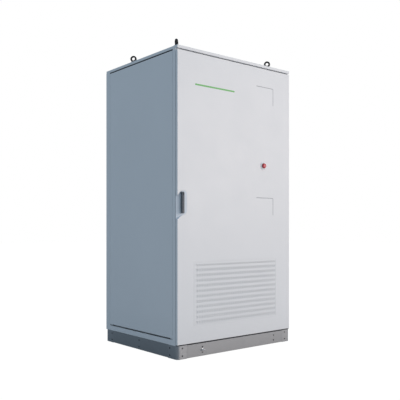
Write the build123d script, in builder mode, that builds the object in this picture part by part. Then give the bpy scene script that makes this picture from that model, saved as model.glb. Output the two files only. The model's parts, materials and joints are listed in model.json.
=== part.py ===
from build123d import *
import os
from math import cos, pi, radians, sin, sqrt, tan

# Battery cabinet: a free-standing sheet-steel enclosure with one full-width door.
# Frame: origin at the middle of the footprint on the floor, +X to the right as seen
# from the door, +Y from the door to the rear, +Z up.  All sizes are millimetres.
# "Inset" is measured inwards from a side face, "setback" rearwards from the door face.

# ---- Driving dimensions: whole cabinet ----
width = 1200
depth = 1000
plinth_height = 100
body_height = 2200
sheet = 2                       # folded sheet of panels and posts
frame_gauge = 3                 # thicker sheet of the frame rings and brackets
fit = 0.3                       # gap between pieces that only seat on each other
running_fit = 0.05              # radial play of pins and shafts that turn

# ---- Plinth ----
plinth_corner_x = 90
plinth_corner_y = 115
plinth_corner_wall = 5
plinth_corner_radius = 25
plinth_panel_depth = 20
plinth_tongue = 60
plinth_panel_gap = 1
anchor_bore = 14
anchor_inset = 60
screw_head = 13
screw_head_height = 2.5
screw_inset = 46
panel_screw_inset = 237
right_panel_screw_inset = 193
right_screw_inset = 59
side_screw_inset = 93
corner_screw_levels = (25, 81)
panel_screw_levels = (30, 70)
side_screw_levels = (24, 76)
earth_stud_inset = 237
earth_stud_height = 50
earth_stud_thread = 8
earth_stud_length = 22

# ---- Frame ----
door_seat_gap = 5               # between the back of the door and the posts
post_lip = 16
lock_channel_depth = 22
rim_inset = 69
rim_reach = 15                  # how far the sealing rim stands forward of the posts
post_side = 33
post_depth = 57
seat_width = 22
rear_post = 58
panel_gap = 2
panel_depth = 14
ring_height = 38
ring_width = 90
panel_bottom_gap = 12
floor_gauge = 3
floor_seat = 15
gland_pitch = 110
gland_body = 40
gland_nut = 48
gland_nut_height = 12
gland_rise = 14                 # how far a gland stands above the floor plate
gland_count = 4
gland_bore = 26
gland_rear_distance = 190

# ---- Roof and lifting points ----
fascia = 22
roof_gap = 10
roof_lip = 36
beam_width = 80
lifting_x = 490
lifting_front_y = -345
lifting_rear_y = 247
pad_base = 66
pad_top = 44
pad_height = 46
eye_outer = 54
eye_bore = 30
eye_collar = 30
eye_collar_height = 7
eye_thread = 12
eye_thread_length = 76

# ---- Door ----
door_depth = 20
door_bottom_gap = 8
door_lip = 13
door_edge_radius = 3
stiffener_inset = 100
stiffener_width = 30
stiffener_depth = 18
gasket_width = 12
groove_width = 5
groove_depth = 1
groove_radius = 9
groove_across = 195
groove_down = 141
groove_right_inset = 199
groove_levels = (2118, 1209)
stripe_length = 400
stripe_height = 10
stripe_thickness = 1.3
stripe_seat = 1
stripe_inset = 166
stripe_z = 2035

# ---- Vent in the door ----
vent_left_inset = 168
vent_right_inset = 180
vent_rows = 12
vent_columns = 35
vent_top = 694
vent_row_pitch = 39.1
vent_hole_height = 23
vent_tip_height = 15
vent_web = 4
vent_margin = 13
vent_flange = 12
vent_sheet = 1.5
vent_gap = 0.8
filter_thickness = 10

# ---- Swing handle and rod lock ----
handle_inset = 40.5
handle_width = 23
handle_thickness = 19
handle_length = 158
handle_bottom = 1070
handle_standoff = 1             # back of the lever in front of the door face
handle_end_radius = 8
handle_pin = 5
pocket_width = 88
pocket_depth = 19
pocket_wall = 2
pocket_flange = 8
spindle = 10
spindle_disc = 23
spindle_lug = 8.2
lug_height = 12
lug_setback = 3
lug_slot = 9
boss = 24
tooth_module = 1.5
pinion_teeth = 12
pinion_face = 10
backlash = 1.3
tooth_addendum = 1.2
pinion_lean = 26                # flank angle of the pinion teeth, degrees
rack_lean = 20
gearbox_wall = 2
gearbox_height = 56
rod_width = 5
rod_depth = 8
rod_tip = 8                      # how far a locked rod reaches into its ring
rack_overlap = 2                # rack teeth beyond the pinion's centre when locked
guide_play = 0.4
guide_wall = 3
guide_levels_upper = (1480, 1850, 2180)
guide_levels_lower = (200, 560, 900)
slot_play = 1.5
keeper_height = 4
cylinder_plug = 11
cylinder_length = 12
cylinder_height = 16
guide_height = 16

# ---- Hinges ----
hinge_inset = 10                # axis in from the right face and back from the door face
hinge_knuckle = 12
hinge_pin = 6
hinge_height = 80
hinge_arm = 6
hinge_leaf = 3
hinge_leaf_length = 45
hinge_levels = (300, 880, 1500, 2080)

# ---- Emergency stop ----
stop_x = 285
stop_z = 1472
stop_ring = 66
stop_ring_bore = 46
stop_ring_height = 9
stop_head = 40
stop_head_height = 13
stop_stem = 16
stop_travel = 5
stop_head_gap = 3               # left under the head when it is pushed in
stop_stem_reach = 3             # how far the stem enters the contact block
stop_block = 40
stop_block_depth = 45

# ---- Battery rack ----
module_levels = 6
module_height = 250
module_pitch = 278
module_front = 230              # setback of the module fronts
module_play = 6                 # between a module and the runner beside it
first_module = 172
rack_side_gap = 72              # rack in from the side faces
rack_rear_gap = 80
upright = 40
upright_setback = 20            # uprights back from the module fronts
upright_overrun = 40
runner_width = 30
runner_height = 20
front_plate = 3
plate_overhang = 3
grip_inset = 45
grip_width = 12
grip_reach = 28
grip_bar = 10
grip_share = 0.44               # of the height of the unit
plug_offset = 90
plug_width = 28
plug_reach = 22
plug_top_gap = 32
control_height = 250
control_case_gap = 40
control_plate_gap = 20
busbar_width = 25
busbar_gauge = 5
busbar_rise = 30
breaker_drop = 10
breaker_boss = 52
breaker_boss_height = 12
breaker_grip_length = 62
breaker_grip_width = 18
breaker_grip_height = 18
detector_base = 100
detector_base_height = 10
detector_head = 84
detector_head_height = 22

# ---- Cooling unit ----
cooler_cover = 1                # how far the cooler stands past the vent field at the sides
cooler_depth = 130
cooler_tab_end = 5              # tabs stop short of the outer edge of the stiffeners
fan_diameter = 240
fan_hub = 80
fan_depth = 28
fan_blades = 5
fan_shaft = 12
fan_spacing = 400
fan_front_gap = 14
fan_blade_gauge = 5
fan_blade_inset = 4
fan_blade_twist = 25
guard_slots = 6
guard_pitch = 30
guard_slot = 12

# ---- Derived places ----
left = -width / 2
right = width / 2
front = -depth / 2
rear = depth / 2
body_top = plinth_height + body_height
fascia_bottom = body_top - fascia
frame_front = door_depth + door_seat_gap
channel_floor = frame_front + lock_channel_depth
post_back = frame_front + post_depth
rim_outer = rim_inset + sheet
rim_tip = frame_front - rim_reach
base_top = plinth_height + ring_height
top_ring_bottom = fascia_bottom - ring_height
post_web_back = frame_front + post_side
side_panel_front = post_web_back + panel_gap
side_panel_back = depth - rear_post - panel_gap
panel_bottom = base_top + panel_bottom_gap
panel_top = fascia_bottom - roof_gap
door_bottom = plinth_height + door_bottom_gap
door_top = fascia_bottom - roof_gap


def facing(setback):
    """Upright plane parallel to the door, seen from the front; extrudes forwards."""
    return Plane.XZ.offset(-front - setback)


def level(height):
    """Flat plane at a height above the floor."""
    return Plane.XY.offset(height)


def block(x0, x1, y0, y1, z0, z1, mode=Mode.ADD):
    """Box between two opposite corners."""
    with Locations(((x0 + x1) / 2, (y0 + y1) / 2, (z0 + z1) / 2)):
        return Box(x1 - x0, y1 - y0, z1 - z0, mode=mode)


def patch(a0, a1, b0, b1, mode=Mode.ADD):
    """Rectangle in a sketch between two opposite corners."""
    with Locations(((a0 + a1) / 2, (b0 + b1) / 2)):
        return Rectangle(a1 - a0, b1 - b0, mode=mode)


os.makedirs("parts", exist_ok=True)


def save(piece, name):
    """Label a finished piece and write it as its own file."""
    piece.part.label = name
    export_step(piece.part, "parts/" + name + ".step")


# ======================================================================
# Plinth
# ======================================================================


def plinth_corner_plan(x_sign, y_sign, skin):
    """Footprint of one corner piece, drawn in by a wall on its two outer sides."""
    x_out = x_sign * (width / 2 - skin)
    y_out = y_sign * (depth / 2 - skin)
    x_in = x_sign * (width / 2 - plinth_corner_x - skin / 2)
    y_in = y_sign * (depth / 2 - plinth_corner_y - skin / 2)
    patch(min(x_in, x_out), max(x_in, x_out), min(y_in, y_out), max(y_in, y_out))
    return (x_out, y_out)


with BuildPart() as plinth_corners:
    for x_sign in (-1, 1):
        for y_sign in (-1, 1):
            with BuildSketch(level(0)) as outside:
                tip = plinth_corner_plan(x_sign, y_sign, 0)
                fillet(outside.vertices().sort_by_distance((*tip, 0))[0], plinth_corner_radius)
            extrude(amount=plinth_height)
            with BuildSketch(level(plinth_corner_wall)) as inside:
                tip = plinth_corner_plan(x_sign, y_sign, plinth_corner_wall)
                fillet(inside.vertices().sort_by_distance((*tip, plinth_corner_wall))[0],
                       plinth_corner_radius - plinth_corner_wall)
            extrude(amount=plinth_height - 2 * plinth_corner_wall, mode=Mode.SUBTRACT)
    with Locations(level(plinth_height)):
        with GridLocations(width - 2 * anchor_inset, depth - 2 * anchor_inset, 2, 2):
            Hole(anchor_bore / 2)
save(plinth_corners, "plinth_corners")


def plinth_panel(length, plane_at):
    """Plinth panel lying on its outer face: pan with a tongue behind each corner piece."""
    low, high = panel_gap, plinth_height - panel_gap
    with BuildPart() as panel:
        with BuildSketch(plane_at):
            patch(-length / 2, length / 2, low, high)
        extrude(amount=-sheet)
        with BuildSketch(plane_at.offset(-sheet)):
            for z0, z1 in ((low, low + sheet), (high - sheet, high)):
                patch(-length / 2, length / 2, z0, z1)
        extrude(amount=-(plinth_panel_depth - sheet))
        for side in (-1, 1):
            with BuildSketch(plane_at):
                near, far = side * (length / 2 - sheet), side * length / 2
                patch(min(near, far), max(near, far), low, high)
            extrude(amount=-(plinth_corner_wall + sheet))
            with BuildSketch(plane_at.offset(-plinth_corner_wall)):
                far = side * (length / 2 + plinth_tongue)
                patch(min(near, far), max(near, far), plinth_height / 5, plinth_height * 4 / 5)
            extrude(amount=-sheet)
    return panel


front_length = width - 2 * plinth_corner_x - 2 * plinth_panel_gap
side_length = depth - 2 * plinth_corner_y - 2 * plinth_panel_gap
plinth_planes = {
    "front": (front_length, Plane.XZ.offset(depth / 2)),
    "rear": (front_length, Plane((0, rear, 0), x_dir=(-1, 0, 0), z_dir=(0, 1, 0))),
    "left": (side_length, Plane((left, 0, 0), x_dir=(0, -1, 0), z_dir=(-1, 0, 0))),
    "right": (side_length, Plane((right, 0, 0), x_dir=(0, 1, 0), z_dir=(1, 0, 0))),
}
for side_name, (length, plane_at) in plinth_planes.items():
    save(plinth_panel(length, plane_at), "plinth_panel_" + side_name)

end_of_side = depth / 2 - side_screw_inset
screw_rows = {
    "front": (
        (left + screw_inset, corner_screw_levels),
        (left + panel_screw_inset, panel_screw_levels),
        (right - right_panel_screw_inset, panel_screw_levels),
        (right - right_screw_inset, corner_screw_levels),
    ),
    "rear": ((left + screw_inset, corner_screw_levels), (right - screw_inset, corner_screw_levels)),
    "left": tuple((x, side_screw_levels) for x in (-end_of_side, 0, end_of_side)),
    "right": tuple((x, side_screw_levels) for x in (-end_of_side, 0, end_of_side)),
}
with BuildPart() as plinth_screws:
    for side_name, rows in screw_rows.items():
        for place, heights in rows:
            with BuildSketch(plinth_planes[side_name][1]):
                with Locations([(place, height) for height in heights]):
                    RegularPolygon(screw_head / 2, 6)
            extrude(amount=screw_head_height)
save(plinth_screws, "plinth_screws")

with BuildPart() as earth_stud:
    with BuildSketch(facing(0)):
        with Locations((left + earth_stud_inset, earth_stud_height)):
            Circle(earth_stud_thread / 2)
    extrude(amount=earth_stud_length)
    with BuildSketch(facing(0)):
        with Locations((left + earth_stud_inset, earth_stud_height)):
            Circle(earth_stud_thread * 1.1)
    extrude(amount=sheet)
    with BuildSketch(facing(-sheet)):
        with Locations((left + earth_stud_inset, earth_stud_height)):
            RegularPolygon(earth_stud_thread * 0.9, 6)
    extrude(amount=earth_stud_thread * 0.8)
save(earth_stud, "earth_stud")

# ======================================================================
# Frame: base ring, posts, top ring, floor
# ======================================================================


def ring(bottom, recess):
    """Welded ring of channel open to the inside; recess seats the flush panels."""
    with BuildPart() as frame_ring:
        for skin, z0, z1, how in (
            (0, bottom, bottom + ring_height, Mode.ADD),
            (frame_gauge, bottom + frame_gauge, bottom + ring_height - frame_gauge, Mode.SUBTRACT),
        ):
            with BuildSketch(level(z0)):
                patch(left + skin, right - skin, front + frame_front + skin, rear - skin)
                if recess:
                    near, far = front + post_web_back, front + side_panel_back + panel_gap
                    reach = recess + skin
                    patch(left, left + reach, near - skin, far + skin, mode=Mode.SUBTRACT)
                    patch(right - reach, right, near - skin, far + skin, mode=Mode.SUBTRACT)
                    patch(left + rear_post - skin, right - rear_post + skin, rear - reach, rear,
                          mode=Mode.SUBTRACT)
            extrude(amount=z1 - z0, mode=how)
        block(left + ring_width, right - ring_width, front + frame_front + ring_width,
              rear - ring_width, bottom, bottom + ring_height, mode=Mode.SUBTRACT)
    return frame_ring


handle_x = left + handle_inset
spindle_z = handle_bottom + handle_length - handle_thickness / 2
pitch_radius = tooth_module * pinion_teeth / 2
tooth_pitch = pi * tooth_module
tooth_dedendum = 1.25 * tooth_module
root_radius = pitch_radius - tooth_dedendum
rack_back = pitch_radius + tooth_dedendum
rod_travel = pitch_radius * pi / 2
rod_front = frame_front + 3
rod_low = handle_x - rack_back - rod_width
rod_high = handle_x + rack_back + rod_width
upper_rod_x = (rod_low, rod_low + rod_width)
lower_rod_x = (rod_high - rod_width, rod_high)


def rod_slot(span, z0, z1):
    """Clear slot for a lock rod through a flange."""
    block(span[0] - slot_play, span[1] + slot_play, front + rod_front - slot_play,
          front + rod_front + rod_depth + slot_play, z0, z1, mode=Mode.SUBTRACT)


rim_left = left + rim_inset
rim_right = right - rim_inset
floor_inset = ring_width - floor_seat

with BuildPart() as base_frame:
    add(ring(plinth_height, 0).part)
    block(rim_left, rim_right, front + rim_tip, front + frame_front, base_top - sheet, base_top)
    rod_slot(lower_rod_x, base_top - frame_gauge, base_top)
    with Locations(level(plinth_height + frame_gauge)):
        with GridLocations(width - 2 * anchor_inset, depth - 2 * anchor_inset, 2, 2):
            Hole(anchor_bore / 2, depth=frame_gauge)
save(base_frame, "base_frame")

with BuildPart() as top_frame:
    add(ring(top_ring_bottom, panel_depth).part)
    block(rim_left, rim_right, front + rim_tip, front + frame_front,
          top_ring_bottom, top_ring_bottom + sheet)
    rod_slot(upper_rod_x, top_ring_bottom, top_ring_bottom + frame_gauge)
save(top_frame, "top_frame")


def inset_patch(side, u0, u1, t0, t1, mode=Mode.ADD):
    """Rectangle in plan given by inset from one side face and setback from the door face."""
    a, b = side * (width / 2 - u0), side * (width / 2 - u1)
    patch(min(a, b), max(a, b), front + t0, front + t1, mode=mode)


def front_post(side):
    """Closed chamber behind the lock channel with the seat strip of the side panel."""
    with BuildPart() as post:
        with BuildSketch(level(base_top)):
            inset_patch(side, post_lip - sheet, rim_outer, channel_floor, post_back)
            inset_patch(side, post_lip, rim_inset, channel_floor + sheet, post_back - sheet,
                        mode=Mode.SUBTRACT)
            inset_patch(side, post_lip - sheet, post_lip, post_back, post_back + seat_width)
        extrude(amount=top_ring_bottom - base_top)
    return post


with BuildPart() as channel_strips:
    for side in (-1, 1):
        with BuildSketch(level(base_top)):
            inset_patch(side, 0, sheet, frame_front, post_web_back)
            inset_patch(side, 0, post_lip - sheet, post_web_back - sheet, post_web_back)
            inset_patch(side, 0, post_lip, frame_front, frame_front + sheet)
            inset_patch(side, post_lip - sheet, post_lip, frame_front, channel_floor)
            inset_patch(side, rim_inset, rim_outer, rim_tip, channel_floor)
        extrude(amount=top_ring_bottom - base_top)
save(channel_strips, "channel_strips")


def rear_corner_post(side):
    """Closed square rear post with a seat strip for the side panel and the rear panel."""
    post_front = depth - rear_post
    with BuildPart() as post:
        with BuildSketch(level(base_top)):
            inset_patch(side, 0, rear_post, post_front, depth)
            inset_patch(side, sheet, rear_post - sheet, post_front + sheet, depth - sheet,
                        mode=Mode.SUBTRACT)
            inset_patch(side, panel_depth, panel_depth + sheet, post_front - seat_width, post_front)
            inset_patch(side, rear_post, rear_post + seat_width, depth - panel_depth - sheet,
                        depth - panel_depth)
        extrude(amount=top_ring_bottom - base_top)
    return post


for side_name, side in (("left", -1), ("right", 1)):
    save(front_post(side), "front_post_" + side_name)
    save(rear_corner_post(side), "rear_post_" + side_name)

gland_y = rear - gland_rear_distance
gland_foot = base_top - gland_nut_height
floor_top = base_top + floor_gauge
with BuildPart() as floor_plate:
    block(left + floor_inset, right - floor_inset, front + frame_front + floor_inset,
          rear - floor_inset, base_top, floor_top)
    with Locations(Location((0, gland_y, floor_top))):
        with GridLocations(gland_pitch, gland_pitch, gland_count, 1):
            Hole(gland_body / 2 + fit, depth=2 * floor_gauge)
save(floor_plate, "floor_plate")

with BuildPart() as cable_glands:
    with BuildSketch(Plane((0, gland_y, gland_foot))):
        with GridLocations(gland_pitch, gland_pitch, gland_count, 1):
            RegularPolygon(gland_nut / 2, 6)
    extrude(amount=gland_nut_height)
    with BuildSketch(Plane((0, gland_y, base_top))):
        with GridLocations(gland_pitch, gland_pitch, gland_count, 1):
            RegularPolygon(gland_body / 2, 6)
    extrude(amount=floor_gauge + gland_rise)
    with BuildSketch(Plane((0, gland_y, gland_foot))):
        with GridLocations(gland_pitch, gland_pitch, gland_count, 1):
            Circle(gland_bore / 2)
    extrude(amount=gland_nut_height + floor_gauge + gland_rise, mode=Mode.SUBTRACT)
save(cable_glands, "cable_glands")

# ======================================================================
# Roof and lifting points
# ======================================================================

lifting_spots = [(x, y) for x in (-lifting_x, lifting_x) for y in (lifting_front_y, lifting_rear_y)]

with BuildPart() as roof_panel:
    block(left, right, front, rear, fascia_bottom, body_top)
    fillet(roof_panel.edges().filter_by(Axis.Z), door_edge_radius)
    chamfer(roof_panel.faces().sort_by(Axis.Z)[-1].edges(), sheet)
    block(left + sheet, right - sheet, front + sheet, rear - sheet,
          fascia_bottom + sheet, body_top - sheet, mode=Mode.SUBTRACT)
    block(left + roof_lip, right - roof_lip, front + roof_lip, rear - roof_lip,
          fascia_bottom, fascia_bottom + sheet, mode=Mode.SUBTRACT)
    with Locations([(x, y, body_top) for x, y in lifting_spots]):
        Hole(eye_thread / 2 + fit, depth=2 * sheet)
save(roof_panel, "roof_panel")

beam_top = body_top - sheet
beam_end = roof_lip + 1
with BuildPart() as roof_beams:
    for y in (lifting_front_y, lifting_rear_y):
        block(left + beam_end, right - beam_end, y - beam_width / 2, y + beam_width / 2,
              fascia_bottom, beam_top)
        block(left + beam_end, right - beam_end, y - beam_width / 2 + frame_gauge,
              y + beam_width / 2 - frame_gauge, fascia_bottom, beam_top - frame_gauge,
              mode=Mode.SUBTRACT)
    with Locations([(x, y, beam_top) for x, y in lifting_spots]):
        Hole(eye_thread / 2 + fit, depth=2 * frame_gauge)
save(roof_beams, "roof_beams")

with BuildPart() as lifting_pads:
    for x, y in lifting_spots:
        with BuildSketch(level(body_top)):
            with Locations((x, y)):
                Circle(pad_base / 2)
        with BuildSketch(level(body_top + pad_height)):
            with Locations((x, y)):
                Circle(pad_top / 2)
        loft()
    with Locations([(x, y, body_top + pad_height) for x, y in lifting_spots]):
        Hole(eye_thread / 2 + fit)
save(lifting_pads, "lifting_pads")

eye_radius = (eye_outer + eye_bore) / 4
eye_wire = (eye_outer - eye_bore) / 4
pad_level = body_top + pad_height
eye_centre = pad_level + eye_outer / 2
with BuildPart() as lifting_eyes:
    for x, y in lifting_spots:
        with BuildSketch(level(pad_level)):
            with Locations((x, y)):
                Circle(eye_collar / 2)
        extrude(amount=eye_collar_height)
        with BuildSketch(level(pad_level)):
            with Locations((x, y)):
                Circle(eye_thread / 2)
        extrude(amount=-eye_thread_length)
        turned = radians(45 if x * y > 0 else -45)
        along = Vector(cos(turned), sin(turned), 0)
        across = Vector(-sin(turned), cos(turned), 0)
        with BuildSketch(Plane((x, y, eye_centre), x_dir=along, z_dir=along.cross(across))):
            with Locations((eye_radius, 0)):
                RegularPolygon(eye_wire, 8, major_radius=False, rotation=22.5)
        revolve(axis=Axis((x, y, eye_centre), across))
save(lifting_eyes, "lifting_eyes")

# ======================================================================
# Flush side and rear panels
# ======================================================================


def flush_panel(x0, x1, y0, y1, z0, z1, inner_face):
    """Folded pan, open towards the inside of the cabinet."""
    with BuildPart() as panel:
        block(x0, x1, y0, y1, z0, z1)
        offset(amount=-sheet, openings=panel.faces().sort_by(inner_face)[-1])
    return panel


panel_y0, panel_y1 = front + side_panel_front, front + side_panel_back
save(flush_panel(left, left + panel_depth, panel_y0, panel_y1, panel_bottom, panel_top, Axis.X),
     "side_panel_left")
save(flush_panel(right - panel_depth, right, panel_y0, panel_y1, panel_bottom, panel_top, -Axis.X),
     "side_panel_right")
rear_inset = rear_post + panel_gap
save(flush_panel(left + rear_inset, right - rear_inset, rear - panel_depth, rear,
                 panel_bottom, panel_top, -Axis.Y), "rear_panel")

# ======================================================================
# Door panel with its folded edges, vent opening, handle notch and grooves
# ======================================================================

hinge_x = right - hinge_inset
hinge_y = front + hinge_inset
hinge_clear = hinge_height / 2 + 2
vent_left = left + vent_left_inset
vent_right = right - vent_right_inset
vent_width = vent_right - vent_left
vent_bottom = vent_top - vent_tip_height / 2 - (vent_rows - 1) * vent_row_pitch - vent_hole_height / 2
field = (vent_left - vent_margin, vent_right + vent_margin, vent_bottom - vent_margin,
         vent_top + vent_margin)

# Outline of the finger recess in the door face, open at the left edge of the door.
pocket_low = 1024
pocket_high = 1238
pocket_points = (
    (left, pocket_low),
    (left + 36, pocket_low + 27),
    (left + pocket_width - 16, pocket_low + 40),
    (left + pocket_width, pocket_low + 58),
    (left + pocket_width, pocket_high - 16),
    (left + pocket_width - 16, pocket_high),
    (left + 36, pocket_high),
    (left, pocket_high - 36),
)


def groove(corner_x, corner_z):
    """Pressed L-shaped groove: across to a rounded corner, then down."""
    half = groove_width / 2
    patch(corner_x - groove_across, corner_x - groove_radius, corner_z - half, corner_z + half)
    patch(corner_x - half, corner_x + half, corner_z - groove_down, corner_z - groove_radius)
    with BuildSketch(mode=Mode.PRIVATE) as bend:
        with Locations((corner_x - groove_radius, corner_z - groove_radius)):
            Circle(groove_radius + half)
            Circle(groove_radius - half, mode=Mode.SUBTRACT)
        patch(corner_x - groove_radius, corner_x + groove_width, corner_z - groove_radius,
              corner_z + groove_width, mode=Mode.INTERSECT)
    add(bend.sketch)


groove_corners = [(right - groove_right_inset, z) for z in groove_levels]
stripe = (left + stripe_inset, left + stripe_inset + stripe_length,
          stripe_z - stripe_height / 2, stripe_z + stripe_height / 2)

with BuildPart() as door_panel:
    block(left, right, front, front + door_depth, door_bottom, door_top)
    fillet(door_panel.edges().filter_by(Axis.Z).group_by(Axis.Y)[0], door_edge_radius)
    with BuildSketch(facing(door_depth)):
        patch(left + door_lip, right - door_lip, door_bottom + door_lip, door_top - door_lip)
    extrude(amount=sheet, mode=Mode.SUBTRACT)
    with BuildSketch(facing(door_depth - sheet)):
        patch(left + sheet, right - sheet, door_bottom + sheet, door_top - sheet)
    extrude(amount=door_depth - 2 * sheet, mode=Mode.SUBTRACT)
    with BuildSketch(facing(door_depth)):
        patch(*field)
    extrude(amount=door_depth, mode=Mode.SUBTRACT)
    with BuildSketch(facing(door_depth)):
        Polygon(*pocket_points, align=None)
    extrude(amount=door_depth, mode=Mode.SUBTRACT)
    with BuildSketch(facing(groove_depth)):
        for corner_x, corner_z in groove_corners:
            groove(corner_x, corner_z)
        patch(*stripe)
    extrude(amount=groove_depth, mode=Mode.SUBTRACT)
    with BuildSketch(facing(sheet)):
        with Locations((stop_x, stop_z)):
            Circle(stop_stem / 2 + 1)
    extrude(amount=sheet, mode=Mode.SUBTRACT)
    for z in hinge_levels:
        block(right - door_lip, right, front + sheet, front + door_depth,
              z - hinge_clear, z + hinge_clear, mode=Mode.SUBTRACT)
save(door_panel, "door_panel")

with BuildPart() as status_stripe:
    with BuildSketch(facing(stripe_seat)):
        patch(*stripe)
    extrude(amount=stripe_thickness)
save(status_stripe, "status_stripe")

stiffener_top = top_ring_bottom - 25
stiffener_bottom = base_top + 25
crossbar_levels = (vent_top + 65, 1330, 1900)
with BuildPart() as door_stiffeners:
    for side in (-1, 1):
        a = side * (width / 2 - stiffener_inset)
        b = side * (width / 2 - stiffener_inset - stiffener_width)
        block(min(a, b), max(a, b), front + sheet, front + sheet + stiffener_depth,
              stiffener_bottom, stiffener_top)
        block(min(a, b) + sheet, max(a, b) - sheet, front + sheet, front + stiffener_depth,
              stiffener_bottom, stiffener_top, mode=Mode.SUBTRACT)
    span = width / 2 - stiffener_inset - stiffener_width
    for z in crossbar_levels:
        half = stiffener_width / 2
        block(-span, span, front + sheet, front + sheet + stiffener_depth, z - half, z + half)
        block(-span, span, front + sheet, front + stiffener_depth, z - half + sheet,
              z + half - sheet, mode=Mode.SUBTRACT)
save(door_stiffeners, "door_stiffeners")

gasket_middle = sheet / 2
with BuildPart() as door_gasket:
    with BuildSketch(facing(rim_tip)):
        reach = gasket_width / 2
        u = rim_inset + gasket_middle
        low, high = base_top - gasket_middle, top_ring_bottom + gasket_middle
        patch(left + u - reach, right - u + reach, low - reach, high + reach)
        patch(left + u + reach, right - u - reach, low + reach, high - reach, mode=Mode.SUBTRACT)
    extrude(amount=rim_tip - sheet)
    relief = pocket_flange + 1
    block(left + u - reach, left + u + reach, front + sheet, front + sheet + pocket_wall + fit,
          pocket_low - relief, pocket_high + relief, mode=Mode.SUBTRACT)
save(door_gasket, "door_gasket")

# ======================================================================
# Vent grille and filter
# ======================================================================

vent_pitch = vent_width / vent_columns
vent_hole = vent_pitch - vent_web
vent_depth = sheet + vent_sheet
with BuildPart() as vent_grille:
    with BuildSketch(facing(vent_depth)):
        patch(field[0] - vent_flange, field[1] + vent_flange,
              field[2] - vent_flange, field[3] + vent_flange)
    extrude(amount=vent_sheet)
    with BuildSketch(facing(vent_depth)):
        patch(field[0] + vent_gap, field[1] - vent_gap, field[2] + vent_gap, field[3] - vent_gap)
    extrude(amount=vent_depth)
    with BuildSketch(facing(vent_depth)):
        inner = vent_gap + vent_sheet
        patch(field[0] + inner, field[1] - inner, field[2] + inner, field[3] - inner)
    extrude(amount=vent_depth - vent_sheet, mode=Mode.SUBTRACT)
    with BuildSketch(facing(vent_depth)) as holes:
        middle_x = (vent_left + vent_right) / 2
        first_row = vent_bottom + vent_hole_height / 2
        middle_z = first_row + (vent_rows - 2) / 2 * vent_row_pitch
        with Locations((middle_x, middle_z)):
            with GridLocations(vent_pitch, vent_row_pitch, vent_columns, vent_rows - 1):
                Rectangle(vent_hole, vent_hole_height)
        with Locations((middle_x, vent_top - vent_tip_height / 2)):
            with GridLocations(vent_pitch, vent_row_pitch, vent_columns, 1):
                Triangle(a=vent_hole, b=sqrt(vent_hole ** 2 / 4 + vent_tip_height ** 2),
                         c=sqrt(vent_hole ** 2 / 4 + vent_tip_height ** 2))
    extrude(amount=vent_depth, mode=Mode.SUBTRACT)
save(vent_grille, "vent_grille")

with BuildPart() as vent_filter:
    block(field[0] - vent_flange, field[1] + vent_flange, front + vent_depth,
          front + vent_depth + filter_thickness, field[2] - vent_flange, field[3] + vent_flange)
save(vent_filter, "vent_filter")

# ======================================================================
# Finger recess, swing handle and rod lock
# ======================================================================

handle_y = front - handle_standoff - handle_thickness / 2
sweep = (pocket_width ** 2 + pocket_depth ** 2) / (2 * pocket_depth)
recess_depth = pocket_depth + pocket_wall
gearbox_front = door_depth + sheet
boss_front = 3
latch_z = handle_bottom + cylinder_height


def recess_sketch(grow, left_edge):
    """Recess outline grown or drawn in on its closed sides and cut at the left."""
    Polygon(*pocket_points, align=None)
    offset(amount=grow, kind=Kind.INTERSECTION)
    if grow < 0:
        patch(left, left - grow, pocket_low - 1.7 * grow, pocket_high - 36 + 1.4 * grow)
    patch(left_edge, left + 2 * pocket_width, pocket_low - pocket_width,
          pocket_high + pocket_width, mode=Mode.INTERSECT)


def scoop_cylinder(radius, mode):
    """Upright cylinder whose front forms the scooped floor of the recess."""
    with Locations((left + pocket_width, front + sweep, (pocket_low + pocket_high) / 2)):
        Cylinder(radius, 2 * (pocket_high - pocket_low), mode=mode)


with BuildPart() as recess_space:
    with BuildSketch(facing(recess_depth)):
        recess_sketch(-pocket_wall, left)
    extrude(amount=recess_depth)
    scoop_cylinder(sweep, Mode.SUBTRACT)

with BuildPart() as handle_pocket:
    with BuildSketch(facing(recess_depth)):
        recess_sketch(-fit, left)
    extrude(amount=recess_depth)
    add(recess_space.part, mode=Mode.SUBTRACT)
    scoop_cylinder(sweep - pocket_wall, Mode.SUBTRACT)
    with BuildSketch(facing(sheet + pocket_wall)):
        recess_sketch(pocket_flange, left + door_lip + fit)
    extrude(amount=pocket_wall)
    add(recess_space.part, mode=Mode.SUBTRACT)
    with BuildSketch(facing(gearbox_front)):
        with Locations((handle_x, spindle_z)):
            Circle(boss / 2)
    extrude(amount=gearbox_front - boss_front)
    with BuildSketch(facing(recess_depth / 2)):
        with Locations((handle_x, latch_z)):
            Rectangle(spindle, spindle)
    extrude(amount=recess_depth / 2 + handle_standoff - fit)
    with BuildSketch(facing(gearbox_front)):
        with Locations((handle_x, spindle_z)):
            Circle(spindle / 2 + running_fit)
    extrude(amount=gearbox_front + 1, mode=Mode.SUBTRACT)
save(handle_pocket, "handle_pocket")

rod_back = rod_front + rod_depth
gearbox_back = rod_back + 6
pinion_front = rod_front - 1


def tooth(flank):
    """One straight-sided tooth standing on the pitch line and pointing along +X."""
    lean = tan(radians(flank))
    half = (tooth_pitch - backlash) / 4
    base = half + tooth_dedendum * lean
    crest = half - tooth_addendum * lean
    root = -tooth_dedendum - tooth_addendum / 2
    Polygon((root, -base), (-tooth_dedendum, -base), (tooth_addendum, -crest),
            (tooth_addendum, crest), (-tooth_dedendum, base), (root, base), align=None)


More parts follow.
